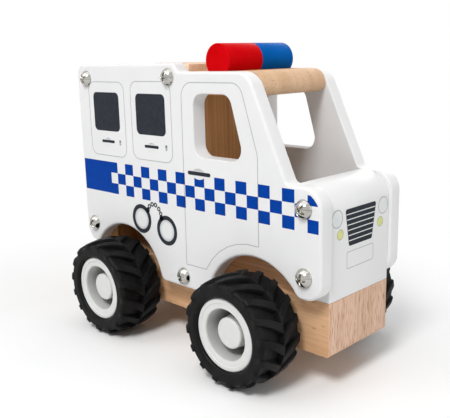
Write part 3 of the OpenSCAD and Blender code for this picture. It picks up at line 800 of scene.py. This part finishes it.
# Bar between two points with round ends
def capsule(start, stop, radius):
    turn = math.degrees(math.atan2(stop[1] - start[1], stop[0] - start[0]))
    return [[*stop, radius, turn - 90, turn + 90], [*start, radius, turn + 90, turn + 270]]


# A print is a thin piece on the van's body that replaces no node
def makePrint(name, shells, material):
    return makePiece(name, shells, material, "van_body", smooth=False)


checker = dict(start=-54.25, top=93.7, wide=7.0, high=5.97, columns=20, rows=3, hair=0.02, seam=0.005,
               whiteLow=-60.2, faceRear=-86.0, faceFront=frontX + panel["proud"] - panel["outerRound"],
               cutX=74.4, cutZ=82.7, cutR=11.1, cutPoints=9)


# Front end of the band at a height: straight, then an arc that keeps inside the panel's nose corner
def bandEnd(z):
    r = checker["cutR"]
    rise = np.clip(z - checker["cutZ"], 0, r)
    return np.minimum(checker["faceFront"], checker["cutX"] + np.sqrt(r * r - rise * rise))


# One square of the band: a ring round it, with its front side drawn by the end of the flat face
def checkerCell(x0, x1, z0, z1, place):
    z = np.linspace(z0, z1, checker["cutPoints"])
    front = np.stack([np.minimum(x1, bandEnd(z)), z], axis=1)
    top = min(max(x0, front[-1, 0]), x1)
    front = front[front[:, 0] > x0]
    ring = np.concatenate([[[x0, z0]], front, [[x0, z1 if top > x0 else front[-1, 1]]]])
    rings = np.stack([place(ring, depth) for depth in (inkLayer["sink"], -inkLayer["proud"])])
    n = len(ring)
    ends = np.array(tessellate_polygon([rings[0].tolist()]))
    return rings.reshape(-1, 3), ringQuads(2, n), np.concatenate([ends, ends + n])


# The band: every second square of each row, and at its rear end a block of three cells round one white square
def checkerCells(c, place):
    rowTop = [c["top"] - c["high"] * row for row in range(c["rows"] + 1)]
    cells = []
    for row in range(c["rows"]):
        low, high = rowTop[row + 1] + c["hair"], rowTop[row] - c["hair"]
        for column in range((row + 1) % 2, c["columns"], 2):
            x = c["start"] + c["wide"] * column
            cells.append((x + c["hair"], x + c["wide"] - c["hair"], low, high))
    cells.append((c["faceRear"], c["start"], rowTop[1] + c["seam"], rowTop[0]))
    cells.append((c["faceRear"], c["start"], rowTop[3], rowTop[2] - c["seam"]))
    cells.append((c["faceRear"], c["whiteLow"], rowTop[2], rowTop[1]))
    return [checkerCell(*cell, place) for cell in cells]


# Places in x and z; the cab door's corners have their radius, and a recess is a middle and two half widths
doors = dict(line=0.4, cab=[(0.8, 46.1, 0.5), (15.4, 46.3, 0.5), (27.3, 66.6, 35.5), (50.75, 64.2, 0.5),
                            (50.75, 106.4, 10), (40.6, 138.1, 7), (1.4, 138.1, 7)],
             rear=((-77.0, 97.2), (-44.7, 137.8), 5.0), mid=((-38.9, 97.6), (-6.7, 138.3), 5.0),
             glass=[((-72.9, 111.0), (-49.6, 132.2)), ((-34.9, 110.9), (-11.3, 132.1))], glassR=2.9,
             handles=[((-66.2, 105.2), (-56.0, 105.2)), ((-28.1, 104.9), (-18.2, 104.9))], handleR=0.75,
             cabHandle=((5.2, 94.3), (19.3, 94.3)), cabHandleR=0.95,
             recess=[((12.0, 94.1), (4.75, 2.7)), ((-61.1, 105.2), (3.0, 2.1)), ((-23.2, 104.9), (3.0, 2.1))],
             keys=[(-50.2, 105.0), (-11.4, 105.1)], keyR=0.8, keyLong=0.75, keyDot=0.5)
cuffs = dict(rings=[(-34.6, 64.8), (-13.9, 61.4)], radius=6.9, stroke=2.3,
             locks=[(-29.0, 70.4), (-18.0, 67.6)], lockR=1.5, linkR=0.95, link=0.75,
             chain=[(-27.6, 72.6), (-25.2, 74.0), (-22.4, 74.0), (-19.8, 72.2), (-18.4, 69.8)])
fade = dict(segments=48, shares=(1.0, 1.0, 0.85, 0.7, 0.5, 0.25, 0.0))


# Oval disc on a polar grid; its tone rises from 0 to 1 from the rim to the middle, or from the top down
def fadeDisc(at, radii, place, layer=1, fromTop=False):
    t = fullTurn(fade["segments"])
    share = np.array(fade["shares"])[:, None]
    ring = np.stack([at[0] + radii[0] * share * np.cos(t), at[1] + radii[1] * share * np.sin(t)], axis=-1)
    depth = np.full(len(share), -inkLayer["proud"] * layer)
    depth[0] = inkLayer["sink"]
    points = np.stack([place(flat, d) for flat, d in zip(ring, depth)])
    tone = (1 - share * np.sin(t)) / 2 if fromTop else 1 - share * np.ones_like(t)
    return gridShell(points), tone.reshape(-1)


# A print of fading discs, with their tones as its own attribute
def makeFade(name, discs, material):
    piece = makePrint(name, [shell for shell, tone in discs], material)
    setTone(piece, np.concatenate([tone for shell, tone in discs]))


# Prints on one side panel: the band, the door lines, dark and grey parts of the doors and a pair of cuffs
def makeSidePrints(hand, side):
    place = onSide(side)
    makePrint("print_checker_" + hand, checkerCells(checker, place), blueInk)
    lines = [ribbon(cornerArcs(doors["cab"]), doors["line"], place)]
    lines += [ribbon(roundedBox(*doors[door]), doors["line"], place) for door in ("rear", "mid")]
    makePrint("print_door_lines_" + hand, lines, greyInk)
    dark = [inkSlab(roundedBox(*glass, doors["glassR"]), place) for glass in doors["glass"]]
    dark += [inkSlab(capsule(*handle, doors["handleR"]), place, layer=3) for handle in doors["handles"]]
    dots = [circle(x, z + doors["keyLong"], doors["keyDot"]) for x, z in doors["keys"]]
    dark += [inkSlab(dot, place, layer=2) for dot in dots]
    dark += [inkSlab(capsule(*doors["cabHandle"], doors["cabHandleR"]), place, layer=3)]
    dark += [ribbon(circle(*at, cuffs["radius"]), cuffs["stroke"], place, layer=2) for at in cuffs["rings"]]
    dark += [inkSlab(circle(*at, cuffs["lockR"]), place, layer=2) for at in cuffs["locks"]]
    dark += [ribbon(circle(*at, cuffs["linkR"]), cuffs["link"], place, layer=2) for at in cuffs["chain"]]
    makePrint("print_dark_" + hand, dark, slateInk)
    grey = [inkSlab(capsule((x, z - doors["keyLong"]), (x, z + doors["keyLong"]), doors["keyR"]), place)
            for x, z in doors["keys"]]
    makePrint("print_keyholes_" + hand, grey, greyInk)
    discs = [fadeDisc(at, (cuffs["radius"],) * 2, place) for at in cuffs["rings"]]
    makeFade("print_cuff_fade_" + hand, discs, cuffFade)
    discs = [fadeDisc(at, radii, place, layer=2, fromTop=True) for at, radii in doors["recess"]]
    makeFade("print_recess_" + hand, discs, recessFade)


frontPrint = dict(lampY=18.2, lampZ=80.1, lampR=3.9, lampLine=0.4, turnY=15.9, turnZ=72.7, turnR=2.3,
                  turnLine=0.3, grilleTop=83.2, grilleLow=66.1, grilleWide=12.2, grilleNarrow=9.1,
                  grilleR=1.2, slats=6, slat=0.45, slatShort=0.5,
                  plateY=10.5, plateLow=55.8, plateHigh=63.5, plateR=1.0, plateLine=0.3)


# Prints on the front board: a grille with slats, ringed headlamps and turn lamps, and an empty plate
def makeFrontPrints(p):
    low, top, narrow, wide = p["grilleLow"], p["grilleTop"], p["grilleNarrow"], p["grilleWide"]
    grille = evenCorners([(-narrow, low), (narrow, low), (wide, top), (-wide, top)], p["grilleR"])
    makePrint("print_grille", [inkSlab(grille, onFront)], slateInk)
    slatZ = np.linspace(low, top, p["slats"] + 2)[1:-1]
    slatY = np.interp(slatZ, [low, top], [narrow, wide]) - p["slatShort"]
    slats = [inkSlab(capsule((-y, z), (y, z), p["slat"] / 2), onFront, layer=2) for y, z in zip(slatY, slatZ)]
    makePrint("print_slats", slats, paleInk)
    headlamps = [circle(side * p["lampY"], p["lampZ"], p["lampR"]) for side in sides.values()]
    turnLamps = [circle(side * p["turnY"], p["turnZ"], p["turnR"]) for side in sides.values()]
    plate = roundedBox((-p["plateY"], p["plateLow"]), (p["plateY"], p["plateHigh"]), p["plateR"])
    lines = [ribbon(lamp, p["lampLine"], onFront, layer=2) for lamp in headlamps]
    lines += [ribbon(lamp, p["turnLine"], onFront, layer=2) for lamp in turnLamps]
    lines += [ribbon(plate, p["plateLine"], onFront)]
    makePrint("print_front_lines", lines, greyInk)
    makePrint("print_headlamps", [inkSlab(lamp, onFront) for lamp in headlamps], paleInk)
    makePrint("print_turn_lamps", [inkSlab(lamp, onFront) for lamp in turnLamps], yellowInk)


for hand, side in sides.items():
    makeSidePrints(hand, side)
makeFrontPrints(frontPrint)
print("prints done")

# Nodes that keep their own mesh
keptNodes = {"front_axle": steel, "rear_axle": steel, "front_washers": steel, "rear_washers": steel,
             "light_bar_pegs": beechRear}
for name, material in keptNodes.items():
    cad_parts[name].data.materials.clear()
    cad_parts[name].data.materials.append(material)

view = dict(place=(0.24990, -0.25133, 0.14998), heading=45.04, tilt=77.20, roll=-1.5,
            lens=53.86, sensor=36.0, near=0.01)
camera = bpy.data.objects.new("camera", bpy.data.cameras.new("camera"))
camera.data.lens = view["lens"]
camera.data.sensor_width = view["sensor"]
camera.data.sensor_fit = "HORIZONTAL"
camera.data.clip_start = view["near"]
heading = Matrix.Rotation(math.radians(view["heading"]), 4, "Z")
tilt = Matrix.Rotation(math.radians(view["tilt"]), 4, "X")
roll = Matrix.Rotation(math.radians(view["roll"]), 4, "Z")
camera.matrix_world = Matrix.Translation(view["place"]) @ heading @ tilt @ roll
scene.collection.objects.link(camera)
scene.camera = camera

# The studio is in metres, and its lamps' power in watts
studio = dict(sky=0.22, floor=0.9, half=3.0, middle=(-0.02, -0.05, 0.0), nearFade=0.11, farFade=0.25,
              white=(1, 1, 1, 1), aim=(0, 0, 0.07))
lamps = {"top_lamp": dict(place=(0.0, 0.0, 1.1), size=1.0, power=2.6),
         "key_lamp": dict(place=(0.3, -0.85, 1.15), size=0.4, power=12.8),
         "rear_lamp": dict(place=(-0.6, -0.85, 1.1), size=0.8, power=3.7),
         "front_lamp": dict(place=(1.2, 0.4, 0.5), size=0.8, power=4.0),
         "left_lamp": dict(place=(-0.3, 1.2, 0.4), size=0.8, power=4.0)}


# Soft area lamp at a place, aimed at the van's middle
def softLamp(name, place, size, power):
    lamp = bpy.data.lights.new(name, "AREA")
    lamp.size = size
    lamp.energy = power
    made = bpy.data.objects.new(name, lamp)
    made.location = place
    made.rotation_euler = (Vector(studio["aim"]) - Vector(place)).to_track_quat("-Z", "Y").to_euler()
    scene.collection.objects.link(made)


# White surround for what the camera and the gloss see, and an even sky for the light
def whiteWorld():
    world = bpy.data.worlds.new("studio")
    scene.world = world
    world.use_nodes = True
    tree = world.node_tree
    tree.nodes.clear()
    path = addNode(tree, "ShaderNodeLightPath")
    seen = addMath(tree, "MAXIMUM", path.outputs["Is Camera Ray"], path.outputs["Is Glossy Ray"])
    either = addMath(tree, "MAXIMUM", seen, path.outputs["Is Transmission Ray"])
    sky = addNode(tree, "ShaderNodeBackground", {"Color": studio["white"], "Strength": studio["sky"]})
    plain = addNode(tree, "ShaderNodeBackground", {"Color": studio["white"], "Strength": 1.0})
    mix = addNode(tree, "ShaderNodeMixShader", {0: either, 1: sky.outputs[0], 2: plain.outputs[0]})
    addNode(tree, "ShaderNodeOutputWorld", {"Surface": mix.outputs[0]})


# Pale floor that keeps the van's shadow and runs out to plain white
def paleFloor():
    made = bpy.data.materials.new("pale_floor")
    made.use_nodes = True
    tree = made.node_tree
    tree.nodes.clear()
    coords = addNode(tree, "ShaderNodeTexCoord")
    away = addNode(tree, "ShaderNodeVectorMath", {0: coords.outputs["Object"], 1: studio["middle"]},
                   operation="DISTANCE")
    fadeOut = addRange(tree, away.outputs["Value"], studio["nearFade"], studio["farFade"], 0.0, 1.0)
    path = addNode(tree, "ShaderNodeLightPath")
    seen = addMath(tree, "MULTIPLY", fadeOut, path.outputs["Is Camera Ray"])
    matt = addNode(tree, "ShaderNodeBsdfDiffuse", {"Color": (studio["floor"],) * 3 + (1,)})
    glow = addNode(tree, "ShaderNodeEmission", {"Color": studio["white"], "Strength": 1.0})
    mix = addNode(tree, "ShaderNodeMixShader", {0: seen, 1: matt.outputs[0], 2: glow.outputs[0]})
    addNode(tree, "ShaderNodeOutputMaterial", {"Surface": mix.outputs[0]})
    half = studio["half"]
    corners = [(-half, -half, 0), (half, -half, 0), (half, half, 0), (-half, half, 0)]
    mesh = bpy.data.meshes.new("floor")
    mesh.from_pydata(corners, [], [(0, 1, 2, 3)])
    mesh.materials.append(made)
    floor = bpy.data.objects.new("floor", mesh)
    scene.collection.objects.link(floor)


for name, lamp in lamps.items():
    softLamp(name, **lamp)
whiteWorld()
paleFloor()
scene.view_settings.view_transform = "Standard"
print("studio done")

bpy.context.view_layer.update()
